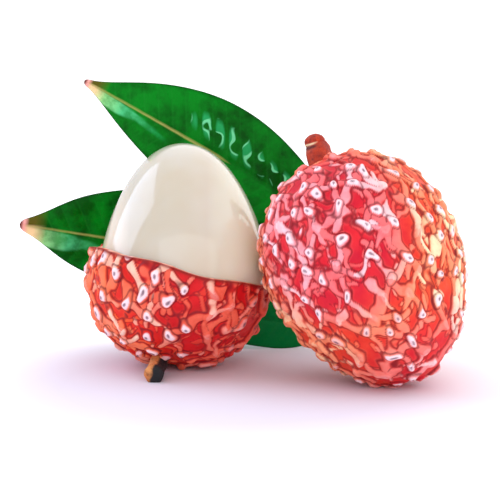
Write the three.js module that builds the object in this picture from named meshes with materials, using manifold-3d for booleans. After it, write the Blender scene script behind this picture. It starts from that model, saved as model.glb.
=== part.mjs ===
// A bunch of lychees: one whole fruit still on its woody stalk with three leaves, and one fruit beside it
// that is peeled down to its lower half, so that the pale flesh stands out of a cup of red skin.
// Millimetres, +Z up. Both fruits, the lowest leaf and the stalk's cut end rest on the plane z = 0.
// The origin is the middle of the footprint's bounding box, on that plane.
import * as THREE from "three";
import { ConvexHull } from "three/addons/math/ConvexHull.js";
import { mergeVertices } from "three/addons/utils/BufferGeometryUtils.js";
import Module from "manifold-3d";

const wasm = await Module();
wasm.setup();

const DEG = Math.PI / 180;
const v3 = (x, y, z) => new THREE.Vector3(x, y, z);

// Footprint: what moves the layout below to the middle of its own bounding box.
const ORIGIN_X = -2.71;
const ORIGIN_Y = 4.55;

// A fruit is an egg with square shoulders: radius across, half length, and how much the shoulders stand out.
// tilt and turn say where its stem end points: down from +Z, then round from +X.
const WHOLE = {
  centre: [17.8, -5.4, 17.45],
  tilt: 38 * DEG,
  turn: 130.1 * DEG,
  radius: 14.5,
  halfLength: 18.4,
  tipLength: 18.2,
  shoulder: 0.04,
  bumps: 240,
  seed: 1,
};
const PEELED = {
  centre: [-10.6, 6.6, 16.9],
  tilt: 155.8 * DEG,
  turn: 240.2 * DEG,
  radius: 14.1,
  halfLength: 17.5,
  tipLength: 17.5,
  shoulder: 0.055,
  bumps: 200,
  seed: 7,
};
// The flesh in it is a body of its own, with a longer tip than the skin that was round it.
const FLESH = {
  centre: [-10.55, 6.8, 17.0],
  tilt: 166 * DEG,
  turn: 275 * DEG,
  radius: 13.3,
  halfLength: 15.5,
  tipLength: 17.75,
  shoulder: 0.055,
};

// The skin's relief: a bead on every bump, with flat ridges that run from it towards some neighbours.
const BEAD_HEIGHT = 0.5;
const BEAD_RADIUS = 1.0;
const RIDGE_HEIGHT = 0.42;
const RIDGE_WIDTH = 0.8;
const SWELL_HEIGHT = 0.2;
const SWELL_RADIUS = 2.6;
const RIDGE_REACH = 1.5;
const RIDGE_SHARE = 0.8;
const WANDER = 0.45;
const WANDER_LENGTH = 1.25;
const NUDGE = 0.62;
const SKIN_DETAIL = 3;

// How far the highest bead stands out of the plain body.
const RELIEF = BEAD_HEIGHT + RIDGE_HEIGHT + SWELL_HEIGHT;

// The peeled fruit: the gap between its skin and flesh, and the plane that the skin was torn along, which
// lies RIM_DROP below the fruit's middle.
const FLESH_GAP = 0.3;
const RIM_TILT = 13.5 * DEG;
const RIM_TURN = 21.4 * DEG;
const RIM_WAVE = 0.45;
const RIM_DROP = 0.8;

// Stalks, with the knob near the fruit, the low ring further down, and the gap to the fruit. KNOB_AT and
// RING_AT are shares of the stalk's length, and so are the spans that follow them.
const STALK_RADIUS = 1.15;
const KNOB_RADIUS = 1.9;
const KNOB_AT = 0.09;
const KNOB_SPAN = 0.07;
const RING_RISE = 0.25;
const RING_AT = 0.6;
const RING_SPAN = 0.03;
const STUB_RADIUS = 1.35;
const STUB_FLARE = 0.12;
const STUB_SPAN = 0.2;
const NECK_GAP = 0.35;

// Leaves: thick enough at the edge to be a solid, with a rib below the middle.
const BLADE = 0.7;
const RIB = 0.55;
const RIB_WIDTH = 0.07;
const PETIOLE_RADIUS = 0.85;
const PINCH_SPAN = 0.11;

// A number from 0 to 1 that is always the same for the same pair of whole numbers.
function draw(i, k) {
  const s = Math.sin(i * 12.9898 + k * 78.233) * 43758.5453;
  return s - Math.floor(s);
}

// A solid from a geometry, and a geometry from a solid.
function solidOf(geometry) {
  const bare = new THREE.BufferGeometry();
  bare.setAttribute("position", geometry.getAttribute("position"));
  if (geometry.index) bare.setIndex(geometry.index);
  const merged = mergeVertices(bare, 1e-4);
  return new wasm.Manifold(
    new wasm.Mesh({
      numProp: 3,
      vertProperties: new Float32Array(merged.attributes.position.array),
      triVerts: new Uint32Array(merged.index.array),
    }),
  );
}

function geometryOf(solid) {
  const mesh = solid.getMesh();
  const geometry = new THREE.BufferGeometry();
  const points = new Float32Array(mesh.vertProperties);
  geometry.setAttribute("position", new THREE.BufferAttribute(points, 3));
  geometry.setIndex(new THREE.BufferAttribute(new Uint32Array(mesh.triVerts), 1));
  geometry.computeVertexNormals();
  return geometry;
}

// The fruit's own frame: +Z along its stem end, turned by tilt and turn, moved to its centre.
function frameOf(fruit) {
  const place = new THREE.Matrix4().makeRotationZ(fruit.turn);
  place.multiply(new THREE.Matrix4().makeRotationY(fruit.tilt));
  place.setPosition(...fruit.centre);
  return place;
}

// A point of the plain body, without its relief, in the direction d of the fruit's own frame.
function bodyPoint(fruit, d, inset = 0) {
  const angle = Math.acos(THREE.MathUtils.clamp(d.z, -1, 1));
  const swell = 1 - fruit.shoulder * Math.cos(3 * angle);
  const across = (fruit.radius - inset) * swell;
  const along = ((d.z > 0 ? fruit.halfLength : fruit.tipLength) - inset) * swell;
  return v3(across * d.x, across * d.y, along * d.z);
}

function bodyNormal(fruit, d) {
  return v3(d.x / fruit.radius, d.y / fruit.radius, d.z / fruit.halfLength).normalize();
}

// The middles of the bumps, spread evenly over the fruit on a spiral and then nudged.
function bumpsOf(fruit) {
  const golden = Math.PI * (3 - Math.sqrt(5));
  const spacing = Math.sqrt((4 * Math.PI) / fruit.bumps);
  const found = [];
  for (let i = 0; i < fruit.bumps; i++) {
    const z = 1 - (2 * i + 1) / fruit.bumps;
    const ring = Math.sqrt(1 - z * z);
    const d = v3(ring * Math.cos(i * golden), ring * Math.sin(i * golden), z);
    const nudge = v3(draw(i, fruit.seed), draw(i, fruit.seed + 1), draw(i, fruit.seed + 2));
    d.addScaledVector(nudge.subScalar(0.5), NUDGE * spacing);
    found.push(d.normalize());
  }
  return found;
}

// The ridges: each starts at one bump and makes for a near neighbour, more often where it runs towards the
// stem. It covers part of the way, and tapers from its half width wide to the share left of that.
function ridgesOf(fruit, bumps) {
  const reach = RIDGE_REACH * Math.sqrt((4 * Math.PI) / fruit.bumps);
  const found = [];
  for (let i = 0; i < bumps.length; i++)
    for (let j = i + 1; j < bumps.length; j++) {
      const step = bumps[j].clone().sub(bumps[i]);
      if (step.length() > reach) continue;
      const lengthwise = Math.abs(step.z) / step.length();
      const lot = (k) => draw(i * 7 + j, fruit.seed + k);
      if (lot(5) >= RIDGE_SHARE * (0.35 + 1.1 * lengthwise)) continue;
      const [from, to] = lot(6) < 0.5 ? [j, i] : [i, j];
      const part = 0.55 + 0.45 * lot(8);
      found.push({ from, to, part, wide: RIDGE_WIDTH * (0.7 + 0.6 * lot(9)), left: 0.45 + 0.4 * lot(10) });
    }
  return found;
}

// Moves a direction a little to and fro, so that ridges and beads aren't straight or round.
function wandered(d, scale) {
  const q = d.clone().multiplyScalar(scale);
  const k = WANDER_LENGTH;
  return v3(
    q.x + WANDER * Math.sin(k * q.y + 1.3) + 0.5 * WANDER * Math.sin(2.3 * k * q.z),
    q.y + WANDER * Math.sin(k * q.z + 2.1) + 0.5 * WANDER * Math.sin(2.3 * k * q.x),
    q.z + WANDER * Math.sin(k * q.x + 0.7) + 0.5 * WANDER * Math.sin(2.3 * k * q.y),
  );
}

// How far the skin stands out of the plain body in direction d: beads, ridges and a broad swell, in mm.
function reliefOf(fruit) {
  const scale = (fruit.radius * 2 + fruit.halfLength) / 3;
  const bumps = bumpsOf(fruit);
  const spots = bumps.map((d) => wandered(d, scale));
  const ridges = ridgesOf(fruit, bumps).map((ridge) => {
    const start = spots[ridge.from];
    return { ...ridge, line: new THREE.Line3(start, start.clone().lerp(spots[ridge.to], ridge.part)) };
  });
  const nearest = v3(0, 0, 0);
  const relief = (d) => {
    const q = wandered(d, scale);
    const bead = Math.min(...spots.map((s) => s.distanceTo(q)));
    let away = Infinity;
    for (const { line, wide, left } of ridges) {
      const share = line.closestPointToPointParameter(q, true);
      const halfWidth = wide * (1 - (1 - left) * share);
      away = Math.min(away, line.at(share, nearest).distanceTo(q) / halfWidth);
    }
    const dome = Math.max(0, 1 - (bead / BEAD_RADIUS) ** 2);
    const swell = Math.max(0, 1 - (bead / SWELL_RADIUS) ** 2);
    return BEAD_HEIGHT * dome + RIDGE_HEIGHT * Math.exp(-(away ** 4)) + SWELL_HEIGHT * swell;
  };
  return { bumps, relief };
}

// The skin as a closed mesh: triangles between neighbouring bumps, each split into SKIN_DETAIL squared, with
// every corner raised by the relief. Bumps are corners, so each bead keeps its point.
function skinGeometry(fruit) {
  const { bumps, relief } = reliefOf(fruit);
  const indexOf = new Map(bumps.map((d, i) => [d, i]));
  const positions = [];
  const places = new Map();
  const corner = (parts) => {
    const used = parts.filter(([, share]) => share > 0).sort((a, b) => a[0] - b[0]);
    const key = used.map(([i, share]) => i + ":" + share).join(",");
    if (!places.has(key)) {
      const d = v3(0, 0, 0);
      for (const [i, share] of used) d.addScaledVector(bumps[i], share);
      d.normalize();
      const p = bodyPoint(fruit, d).addScaledVector(bodyNormal(fruit, d), relief(d));
      places.set(key, positions.length / 3);
      positions.push(p.x, p.y, p.z);
    }
    return places.get(key);
  };
  const faces = [];
  for (const face of new ConvexHull().setFromPoints(bumps).faces) {
    const first = face.edge;
    const [a, b, c] = [first, first.next, first.next.next].map((e) => indexOf.get(e.head().point));
    const at = (i, j) => corner([[a, SKIN_DETAIL - i - j], [b, i], [c, j]]);
    for (let i = 0; i < SKIN_DETAIL; i++)
      for (let j = 0; j < SKIN_DETAIL - i; j++) {
        faces.push(at(i, j), at(i + 1, j), at(i, j + 1));
        if (i + j < SKIN_DETAIL - 1) faces.push(at(i + 1, j), at(i + 1, j + 1), at(i, j + 1));
      }
  }
  const geometry = new THREE.BufferGeometry();
  geometry.setAttribute("position", new THREE.Float32BufferAttribute(positions, 3));
  geometry.setIndex(faces);
  return geometry.applyMatrix4(frameOf(fruit));
}

// The plain body, smaller by inset all round, as a lathed profile from one end to the other.
function smoothGeometry(fruit, inset, rings, sides) {
  const profile = [];
  for (let i = 0; i <= rings; i++) {
    const angle = Math.PI * (1 - i / rings);
    const p = bodyPoint(fruit, v3(Math.sin(angle), 0, Math.cos(angle)), inset);
    const onAxis = i === 0 || i === rings;
    profile.push(new THREE.Vector2(onAxis ? 0 : p.x, p.z));
  }
  const lathe = new THREE.LatheGeometry(profile, sides);
  lathe.rotateX(Math.PI / 2);
  return lathe.applyMatrix4(frameOf(fruit));
}

// A closed tube along a curve. radiusAt gives its radius from 0 at the start to 1 at the end.
function tubeGeometry(curve, radiusAt, steps, sides) {
  const frames = curve.computeFrenetFrames(steps, false);
  const positions = [];
  for (let i = 0; i <= steps; i++) {
    const centre = curve.getPointAt(i / steps);
    for (let k = 0; k < sides; k++) {
      const turn = (2 * Math.PI * k) / sides;
      const p = centre
        .clone()
        .addScaledVector(frames.normals[i], Math.cos(turn) * radiusAt(i / steps))
        .addScaledVector(frames.binormals[i], Math.sin(turn) * radiusAt(i / steps));
      positions.push(p.x, p.y, p.z);
    }
  }
  const faces = [];
  for (let i = 0; i < steps; i++)
    for (let k = 0; k < sides; k++) {
      const [a, b] = [i * sides + k, i * sides + ((k + 1) % sides)];
      faces.push(a, b, b + sides, a, b + sides, a + sides);
    }
  const last = steps * sides;
  for (let k = 1; k < sides - 1; k++) faces.push(0, k + 1, k, last, last + k, last + k + 1);
  const geometry = new THREE.BufferGeometry();
  geometry.setAttribute("position", new THREE.Float32BufferAttribute(positions, 3));
  geometry.setIndex(faces);
  return geometry;
}

// Everything under the resting plane, to cut the small flats that the bunch stands on.
const BLOCK = 200;
const ground = solidOf(new THREE.BoxGeometry(BLOCK, BLOCK, BLOCK).translate(0, 0, -BLOCK / 2));

// A round bump: 1 at its middle, falling to 0 over width.
const hump = (t, middle, width) => Math.exp(-(((t - middle) / width) ** 2));

function wholeFruit() {
  return solidOf(skinGeometry(WHOLE)).subtract(ground);
}

// The block that lies above the torn edge: its underside is the rim's plane, with three long and seven short
// waves round it that fade towards the middle.
function tornAway() {
  const size = 30;
  const lines = 24;
  const plane = new THREE.BoxGeometry(2 * size, 2 * size, size, lines, lines, 1).translate(0, 0, size / 2);
  const at = plane.getAttribute("position");
  for (let i = 0; i < at.count; i++) {
    if (at.getZ(i) > 1) continue;
    const turn = Math.atan2(at.getY(i), at.getX(i));
    const reach = Math.min(1, Math.hypot(at.getX(i), at.getY(i)) / (0.7 * PEELED.radius));
    const wave = 0.6 * Math.sin(3 * turn + 2.7) + 0.4 * Math.sin(7 * turn + 4.2);
    at.setZ(i, RIM_WAVE * reach * wave - RIM_DROP);
  }
  const rim = frameOf({ ...PEELED, tilt: RIM_TILT, turn: RIM_TURN });
  return solidOf(plane.applyMatrix4(rim));
}

function skinCup() {
  const outside = solidOf(skinGeometry(PEELED));
  const hollow = solidOf(smoothGeometry(FLESH, -FLESH_GAP, 20, 32));
  return outside.subtract(tornAway()).subtract(hollow).subtract(ground);
}

function flesh() {
  return solidOf(smoothGeometry(FLESH, 0, 20, 32));
}

// A point on the axis of a fruit, a share of the way from its centre to its stem end.
function onAxis(fruit, share) {
  return bodyPoint(fruit, v3(0, 0, 1)).multiplyScalar(share).applyMatrix4(frameOf(fruit));
}

// The room that a stalk leaves free round a fruit.
function roomRound(fruit) {
  return solidOf(smoothGeometry(fruit, -(RELIEF + NECK_GAP), 20, 32));
}

// The stalk of the bunch: out of the whole fruit's stem end, over a knob, then down behind the fruit to the
// ground. A short broken spur stands on the knob.
const STALK_PATH = [
  [10.8, 6.6, 34.4],
  [11.7, 9.5, 33.5],
  [14.8, 15.4, 29.3],
  [19.0, 20.2, 22.0],
  [18.6, 23.4, 12.5],
  [20.2, 26.4, 4.2],
  [24.2, 29.4, 0.75],
];
const SPUR_TIP = [9.9, 6.7, 36.6];

// The stalk's main run, grown by a margin all round.
function stalkRun(margin) {
  const points = [onAxis(WHOLE, 0.94), ...STALK_PATH.map((p) => v3(...p))];
  const curve = new THREE.CatmullRomCurve3(points, false, "centripetal");
  const knob = (t) => (KNOB_RADIUS - STALK_RADIUS) * hump(t, KNOB_AT, KNOB_SPAN);
  const ring = (t) => RING_RISE * hump(t, RING_AT, RING_SPAN);
  return solidOf(tubeGeometry(curve, (t) => STALK_RADIUS + margin + knob(t) + ring(t), 34, 10));
}

function stalk() {
  const spur = new THREE.LineCurve3(v3(...STALK_PATH[0]), v3(...SPUR_TIP));
  const spurRadius = (t) => KNOB_RADIUS * (0.95 - 0.3 * t);
  return stalkRun(0)
    .add(solidOf(tubeGeometry(spur, spurRadius, 3, 8)))
    .subtract(roomRound(WHOLE))
    .subtract(ground);
}

// The peeled fruit's own short stalk, which bends forwards onto the ground.
const STUB_PATH = [
  [-14.5, -3.2, 1.5],
  [-14.8, -8.4, 1.25],
];

function stub() {
  const points = [onAxis(PEELED, 0.9).add(v3(0, 0, 0.6)), ...STUB_PATH.map((p) => v3(...p))];
  const curve = new THREE.CatmullRomCurve3(points, false, "centripetal");
  const radius = (t) => STUB_RADIUS * (1 + STUB_FLARE * hump(t, 1, STUB_SPAN));
  return solidOf(tubeGeometry(curve, radius, 8, 10)).subtract(roomRound(PEELED)).subtract(ground);
}

// A leaf: the midrib runs base, middle, tip; across is the direction from edge to edge; fold lifts both
// halves towards the upper face; lean makes one half wider than the other; widest says where the blade is
// widest; taper is how fast it narrows from there, and pinch how much the drawn-out tip is drawn in.
const LEAVES = {
  leaf_upper: {
    stem: [18.9, 21.3, 18.4],
    base: [14.6, 22.6, 19.7],
    middle: [-6, 23.6, 32.2],
    tip: [-27.3, 20.5, 44.7],
    across: [0.42, 0.3, 0.85],
    halfWidth: 8.5,
    lean: 0.06,
    fold: 0.22,
    widest: 0.5,
    taper: 1.1,
    pinch: 0.1,
  },
  leaf_left: {
    stem: [18.5, 24.0, 10.6],
    base: [13.0, 26.4, 10.6],
    middle: [-12, 27.2, 15.6],
    tip: [-38.5, 21.5, 20.7],
    across: [0.12, -0.1, 0.98],
    halfWidth: 9.2,
    lean: 0.1,
    fold: 0.2,
    widest: 0.5,
    taper: 0.65,
    pinch: 0.45,
  },
  leaf_low: {
    stem: [19.6, 25.4, 6.4],
    base: [14.6, 22.6, 3.4],
    middle: [0, 21.8, 4.7],
    tip: [-20.5, 20.4, 8.6],
    across: [0.0, 0.45, 0.88],
    halfWidth: 4.9,
    lean: 0,
    fold: 0.15,
    widest: 0.3,
    taper: 0.9,
    pinch: 0.1,
  },
};
const LEAF_STEPS = 20;
const LEAF_LINES = [-1, -0.72, -0.4, -0.12, 0, 0.12, 0.4, 0.72, 1];

// Half the blade's width from its base, u = 0, to its drawn-out tip, u = 1, as a share of the widest.
function bladeWidth(u, { widest, taper, pinch }) {
  if (u < widest) return Math.max(0.05, Math.sin((Math.PI / 2) * (u / widest)) ** 0.65);
  const bow = Math.cos((Math.PI / 2) * Math.min(1, (u - widest) / (1 - widest))) ** taper;
  return Math.max(0.05, bow * (1 - pinch * hump(u, 1, PINCH_SPAN)));
}

function leafGeometry(leaf) {
  const [base, middle, tip] = [leaf.base, leaf.middle, leaf.tip].map((p) => v3(...p));
  const midrib = new THREE.CatmullRomCurve3([base, middle, tip], false, "centripetal");
  const positions = [];
  for (const face of [1, -1])
    for (let i = 0; i <= LEAF_STEPS; i++) {
      const u = i / LEAF_STEPS;
      const forward = midrib.getTangentAt(u);
      const side = v3(...leaf.across).addScaledVector(forward, -v3(...leaf.across).dot(forward)).normalize();
      const back = forward.clone().cross(side).normalize();
      for (const v of LEAF_LINES) {
        const half = leaf.halfWidth * (1 + Math.sign(v) * leaf.lean) * bladeWidth(u, leaf);
        const lift = leaf.fold * half * (Math.abs(v) - 0.45 * v * v);
        const rib = face > 0 ? RIB * Math.exp(-((v / RIB_WIDTH) ** 2)) * (1 - 0.7 * u) : 0;
        const p = midrib
          .getPointAt(u)
          .addScaledVector(side, half * v)
          .addScaledVector(back, face * (BLADE / 2 + rib) - lift);
        positions.push(p.x, p.y, p.z);
      }
    }
  const width = LEAF_LINES.length;
  const sheet = (LEAF_STEPS + 1) * width;
  const faces = [];
  const quad = (a, b, c, d) => faces.push(a, b, c, a, c, d);
  for (let i = 0; i < LEAF_STEPS; i++)
    for (let k = 0; k < width - 1; k++) {
      const a = i * width + k;
      quad(a, a + width, a + width + 1, a + 1);
      const b = sheet + a;
      faces.push(b, b + width + 1, b + width, b, b + 1, b + width + 1);
    }
  for (let i = 0; i < LEAF_STEPS; i++) {
    const low = i * width;
    const high = low + width - 1;
    quad(low, low + sheet, low + width + sheet, low + width);
    quad(high, high + width, high + width + sheet, high + sheet);
  }
  const end = LEAF_STEPS * width;
  for (let k = 0; k < width - 1; k++) {
    quad(k, k + 1, k + 1 + sheet, k + sheet);
    quad(end + k, end + k + sheet, end + k + 1 + sheet, end + k + 1);
  }
  const geometry = new THREE.BufferGeometry();
  geometry.setAttribute("position", new THREE.Float32BufferAttribute(positions, 3));
  geometry.setIndex(faces);
  return geometry;
}

function leafSolid(leaf) {
  const [stem, base, middle] = [leaf.stem, leaf.base, leaf.middle].map((p) => v3(...p));
  const inside = base.clone().lerp(middle, 0.12);
  const petiole = new THREE.CatmullRomCurve3([stem, base, inside], false, "centripetal");
  const radius = (t) => PETIOLE_RADIUS * (1 - 0.35 * t);
  return solidOf(leafGeometry(leaf))
    .add(solidOf(tubeGeometry(petiole, radius, 6, 8)))
    .subtract(stalkRun(NECK_GAP))
    .subtract(ground);
}

const finish = (color, roughness) => new THREE.MeshStandardMaterial({ color, roughness, metalness: 0 });
const skinFinish = finish("#e2432f", 0.45);
const fleshFinish = finish("#e9e1d4", 0.15);
const leafFinish = finish("#0b6a14", 0.3);
const barkFinish = finish("#8a4526", 0.8);

const bunch = new THREE.Group();

function place(name, solid, material) {
  const mesh = new THREE.Mesh(geometryOf(solid), material);
  mesh.name = name;
  bunch.add(mesh);
}

place("whole_lychee", wholeFruit(), skinFinish);
place("peeled_lychee_skin", skinCup(), skinFinish);
place("peeled_lychee_flesh", flesh(), fleshFinish);
place("bunch_stalk", stalk(), barkFinish);
place("peeled_lychee_stalk", stub(), barkFinish);
for (const [name, leaf] of Object.entries(LEAVES)) place(name, leafSolid(leaf), leafFinish);

bunch.position.set(-ORIGIN_X, -ORIGIN_Y, 0);

export default bunch;
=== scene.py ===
# %% [markdown]
# # A bunch of lychees
# One lychee lies whole on its stalk with three leaves, and one beside it is peeled down to a cup of its
# skin. The fixed frame from the CAD step comes first. Everything below is in metres in that same frame:
# +Z up, with the side that is looked at towards -Y.

import bpy
import numpy as np
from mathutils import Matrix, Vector


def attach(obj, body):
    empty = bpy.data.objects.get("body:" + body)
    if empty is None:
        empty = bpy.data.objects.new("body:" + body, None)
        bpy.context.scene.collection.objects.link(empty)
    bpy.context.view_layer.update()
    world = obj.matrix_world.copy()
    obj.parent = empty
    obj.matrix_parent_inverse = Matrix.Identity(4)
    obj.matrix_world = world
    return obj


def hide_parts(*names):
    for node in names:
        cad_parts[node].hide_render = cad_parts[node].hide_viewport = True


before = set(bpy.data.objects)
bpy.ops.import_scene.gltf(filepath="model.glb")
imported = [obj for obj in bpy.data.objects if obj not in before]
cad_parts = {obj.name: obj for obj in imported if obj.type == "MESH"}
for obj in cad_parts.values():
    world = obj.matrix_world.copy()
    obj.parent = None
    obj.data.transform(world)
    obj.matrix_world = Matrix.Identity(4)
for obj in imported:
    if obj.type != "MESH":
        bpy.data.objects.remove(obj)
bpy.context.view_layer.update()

# %% [markdown]
# ## Measures
# A lychee is about 30 mm across, so every measure here is written in millimetres and turned into metres
# where it goes into a mesh. The layout has its own zero, and SHIFT moves it to the middle of the
# footprint, as in the CAD source. For each fruit, tilt and turn point its stem end. The next entry lists
# the directions that its rind's tint follows. On the whole fruit that is a crimson ripening tint, and the
# lighter orange red of its edges and right side is painted light. On the cup it is painted light on its
# lit left side. The last entry is the side on which ridges and beads are painted paler, as painted light.

# %% Measures of the fruits
MM = 0.001
SHIFT = np.array([-2.71, 4.55, 0.0])

whole = dict(centre=(17.8, -5.4, 17.45), tilt=38, turn=130.1, radius=14.5, stem=18.4, tip=18.2,
             shoulder=0.04, bumps=240, seed=1, bead=1.0, painted_light_side=(0.93, -0.25, 0.27),
             sun=((-0.5, -0.72, 0.48), (0.34, -0.37, -0.56)))
peeled = dict(centre=(-10.6, 6.6, 16.9), tilt=155.8, turn=240.2, radius=14.1, stem=17.5, tip=17.5,
              shoulder=0.055, bumps=200, seed=7, bead=1.12, painted_light_side=(-0.35, -0.9, 0.25),
              sun=((-0.95, -0.1, 0.3), (-0.8, -0.2, -0.56)))
flesh = dict(centre=(-10.55, 6.8, 17.0), tilt=166, turn=275, radius=13.3, stem=15.5, tip=17.75,
             shoulder=0.055)
print("whole fruit", 2 * whole["radius"], "x", whole["stem"] + whole["tip"], "mm before its bumps")

# %% [markdown]
# ## From arrays to meshes
# Each surface is a grid of points that depends on two parameters. A grid whose borders touch is closed
# by welding the points that fall on each other, so seams and poles hold no hole. One function does that
# for every piece, and puts the arrays into Blender in one go.

# %% Grid and mesh helpers
def quads_of(rows, columns, start=0, wrap=False):
    """Corner numbers of each cell of a grid of rows x columns points: a point, the next one in its row,
    the one above that, and the one above the first. With wrap, the last column joins the first."""
    i = np.arange(rows - 1)[:, None]
    k = np.arange(columns if wrap else columns - 1)[None, :]
    after = (k + 1) % columns
    cells = np.stack([i * columns + k, i * columns + after, (i + 1) * columns + after,
                      (i + 1) * columns + k], -1)
    return start + cells.reshape(-1, 4)


def make_piece(name, points_mm, quads, marks=None):
    """A mesh object from points in mm and four corner numbers per face. Points nearer than a micron are
    welded, and a face that loses a corner by it becomes a triangle. marks are numbers per point, kept as
    attributes for the materials."""
    points = (np.asarray(points_mm, float) - SHIFT) * MM
    _, first, new = np.unique(np.round(points / 1e-6).astype(np.int64), axis=0,
                              return_index=True, return_inverse=True)
    quads = new.reshape(-1)[quads]
    again = quads == np.roll(quads, 1, axis=1)
    flat = again.sum(1)
    whole_faces = quads[flat == 0]
    thin = quads[flat == 1]
    triangles = thin[~again[flat == 1]].reshape(-1, 3)
    loops = np.concatenate([whole_faces.ravel(), triangles.ravel()])
    counts = np.concatenate([np.full(len(whole_faces), 4), np.full(len(triangles), 3)])
    mesh = bpy.data.meshes.new(name)
    mesh.vertices.add(len(first))
    mesh.vertices.foreach_set("co", points[first].astype(np.float32).ravel())
    mesh.loops.add(len(loops))
    mesh.loops.foreach_set("vertex_index", loops.astype(np.int32))
    mesh.polygons.add(len(counts))
    mesh.polygons.foreach_set("loop_start", (np.cumsum(counts) - counts).astype(np.int32))
    mesh.update(calc_edges=True)
    mesh.validate()
    for key, values in (marks or {}).items():
        layer = mesh.attributes.new(key, "FLOAT", "POINT")
        layer.data.foreach_set("value", np.asarray(values, np.float32).ravel()[first])
    mesh.polygons.foreach_set("use_smooth", np.ones(len(mesh.polygons), bool))
    piece = bpy.data.objects.new(name, mesh)
    bpy.context.scene.collection.objects.link(piece)
    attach(piece, "root")
    euler = len(mesh.vertices) - len(mesh.edges) + len(mesh.polygons)
    print(name, len(mesh.polygons), "faces; points less edges plus faces:", euler, "(2 when closed)")
    return piece


print("a grid of 3 x 4 points has", len(quads_of(3, 4)), "cells")

# %% [markdown]
# ## The body of a fruit
# Under its bumps a lychee is an egg with slightly square shoulders. A direction on the unit sphere gives
# a point: stretched by the radius across and by the half length along, then pushed in and out by a wave
# that has three crests from stem to stem. The same formula serves the rind and the flesh.

# %% Body of a fruit
def axes_of(fruit):
    """Rows are the fruit's own x, y and z axes: z is the stem's direction, tilt down from up and then
    turn round it, and x lies in the plane through both."""
    t, a = np.radians([fruit["tilt"], fruit["turn"]])
    return np.array([[np.cos(t) * np.cos(a), np.cos(t) * np.sin(a), -np.sin(t)],
                     [-np.sin(a), np.cos(a), 0.0],
                     [np.sin(t) * np.cos(a), np.sin(t) * np.sin(a), np.cos(t)]])


def body_points(fruit, d, grown=0.0):
    """Point for each unit direction d: (radius dx, radius dy, length dz), times 1 less the shoulder times
    the cosine of three times the angle from the stem."""
    length = np.where(d[..., 2] > 0, fruit["stem"], fruit["tip"]) + grown
    across = fruit["radius"] + grown
    swell = 1 - fruit["shoulder"] * np.cos(3 * np.arccos(np.clip(d[..., 2], -1, 1)))
    return np.stack([across * d[..., 0], across * d[..., 1], length * d[..., 2]], -1) * swell[..., None]


def body_normals(fruit, d):
    """Outward direction of the egg: each part of d over its half axis, brought to unit length."""
    n = d / np.array([fruit["radius"], fruit["radius"], fruit["stem"]])
    return n / np.linalg.norm(n, axis=-1, keepdims=True)


def placed(fruit, points):
    """Own coordinates to the frame: the sum of each coordinate times its axis, plus the centre."""
    return points @ axes_of(fruit) + np.array(fruit["centre"])


print("stem of the whole fruit points to", np.round(axes_of(whole)[2], 2))

# %% [markdown]
# ## The rind's relief
# A lychee's rind is a mosaic of plates, each with a blunt tip. Seen close, the tips are small pale beads,
# and from each one flat ridges run out like the tail of a tadpole, over a darker red ground with low thin
# streaks. A thin seam parts two ridges that meet. It could all be drawn as a bump texture, but the bumps
# cut the outline, so they are real shape here: a spiral of bead places, tapering lines from each towards
# near neighbours, and heights that follow from the distance.

# %% Where beads and ridges are
BEAD_HEIGHT, BEAD_RADIUS = 0.50, 1.0
PIT_DEPTH, PIT_RADIUS = 0.18, 0.22
RIDGE_HEIGHT, RIDGE_WIDTH = 0.42, 0.8
SWELL_HEIGHT, SWELL_RADIUS = 0.20, 2.6
LINK_REACH, LINK_SHARE = 1.5, 0.8
STREAK_HEIGHT, STREAK_WIDTH = 0.16, 0.45
STREAK_REACH, STREAK_SHARE, STREAK_STARTS = 1.7, 0.42, 2.2
SEAM_DEPTH, SEAM_LEAD = 0.07, 0.16
WANDER, WANDER_LENGTH = 0.45, 1.25


def draw(i, k):
    """A number from 0 to 1 that is always the same for the same i and k: the part after the point of a
    large multiple of a sine."""
    s = np.sin(np.asarray(i) * 12.9898 + np.asarray(k) * 78.233) * 43758.5453
    return s - np.floor(s)


def places(count, seed):
    """Directions spread over a ball: equal steps of height, the golden angle's turn each, and a nudge."""
    i = np.arange(count)
    z = 1 - (2 * i + 1) / count
    turn = i * np.pi * (3 - np.sqrt(5))
    ring = np.sqrt(1 - z * z)
    d = np.stack([ring * np.cos(turn), ring * np.sin(turn), z], -1)
    nudge = np.stack([draw(i, seed + k) for k in range(3)], -1) - 0.5
    d = d + 0.62 * np.sqrt(4 * np.pi / count) * nudge
    return d / np.linalg.norm(d, axis=1, keepdims=True)


def lines_between(spots, seed, reach, kept, width):
    """Lines between pairs of places within reach, kept by a draw that favours pairs which lie along the
    fruit. Gives the place that each starts from, the one that it makes for, the share of the way that it
    goes, its half width in mm at the start, and what is left of that at its end."""
    reach = reach * np.sqrt(4 * np.pi / len(spots))
    i, j = np.triu_indices(len(spots), 1)
    step = spots[j] - spots[i]
    far = np.linalg.norm(step, axis=1)
    lengthwise = np.abs(step[:, 2]) / far
    lot = [draw(i * 7 + j, seed + k) for k in (5, 6, 8, 9, 10)]
    keep = (far <= reach) & (lot[0] < kept * (0.35 + 1.1 * lengthwise))
    turned = lot[1] < 0.5
    rows = [np.where(turned, j, i), np.where(turned, i, j), 0.55 + 0.45 * lot[2],
            width * (0.7 + 0.6 * lot[3]), 0.45 + 0.4 * lot[4]]
    return [row[keep] for row in rows]


def wandered(d, scale):
    """The direction as a point on a sphere of that radius in mm, moved to and fro by sines of its other
    coordinates, so that lines bend."""
    q = d * scale
    k, w = WANDER_LENGTH, WANDER
    x, y, z = q[..., 0], q[..., 1], q[..., 2]
    return np.stack([x + w * np.sin(k * y + 1.3) + 0.5 * w * np.sin(2.3 * k * z),
                     y + w * np.sin(k * z + 2.1) + 0.5 * w * np.sin(2.3 * k * x),
                     z + w * np.sin(k * x + 0.7) + 0.5 * w * np.sin(2.3 * k * y)], -1)


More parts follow.
